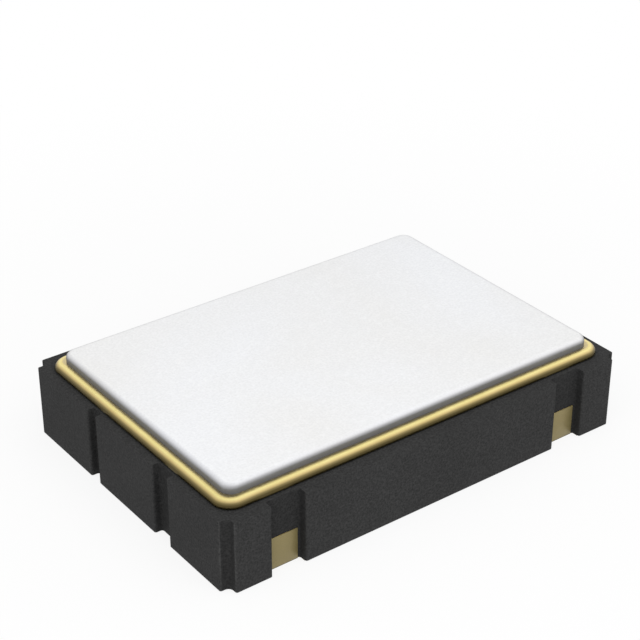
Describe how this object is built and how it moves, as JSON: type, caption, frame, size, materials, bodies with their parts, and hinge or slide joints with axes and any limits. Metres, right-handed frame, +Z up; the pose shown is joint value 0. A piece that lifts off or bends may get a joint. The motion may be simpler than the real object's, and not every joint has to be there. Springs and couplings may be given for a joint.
{
  "type": "crystal oscillator",
  "caption": "Surface-mount crystal oscillator: a flat rectangular ceramic package with a metal lid on a seal ring, castellated long sides and solder pads underneath.",
  "frame": {"origin": "middle of the underside of the solder pads, which is the plane that rests on the circuit board", "axes": "+X along the package, away from the end with the index pad; +Y across it, towards the side with the index pad; +Z up through the lid"},
  "size_m": [0.007, 0.005, 0.0014],
  "materials": {
    "black_ceramic": "matt fired alumina, black pigment",
    "pad_gold": "thin gold plate, satin",
    "trace_gold": "thin gold plate over printed metal, satin",
    "braze_alloy": "brazing alloy, dull",
    "ring_gold": "gold plate over nickel-iron alloy, satin",
    "lid_nickel": "matt nickel plate",
    "silver_adhesive": "cured silver-filled adhesive",
    "silicon": "polished silicon",
    "bond_pad_metal": "bare aluminium film",
    "wire_gold": "bright drawn gold",
    "quartz": "polished quartz",
    "electrode_silver": "evaporated silver film"
  },
  "bodies": {
    "root": {"ceramic_base": "black_ceramic", "pad_1": "pad_gold", "pad_2": "pad_gold", "pad_3": "pad_gold", "pad_4": "pad_gold", "enable_trace": "trace_gold", "ground_trace": "trace_gold", "output_trace": "trace_gold", "supply_trace": "trace_gold", "crystal_trace_a": "trace_gold", "crystal_trace_b": "trace_gold", "ring_braze": "braze_alloy", "seal_ring": "ring_gold", "lid": "lid_nickel", "die_pad": "trace_gold", "die_epoxy": "silver_adhesive", "oscillator_die": "silicon", "die_bond_pads": "bond_pad_metal", "bond_wire_enable": "wire_gold", "bond_wire_ground": "wire_gold", "bond_wire_output": "wire_gold", "bond_wire_supply": "wire_gold", "bond_wire_crystal_a": "wire_gold", "bond_wire_crystal_b": "wire_gold", "crystal_adhesive_a": "silver_adhesive", "crystal_adhesive_b": "silver_adhesive", "crystal_blank": "quartz", "top_electrode": "electrode_silver", "bottom_electrode": "electrode_silver"}
  },
  "joints": []
}
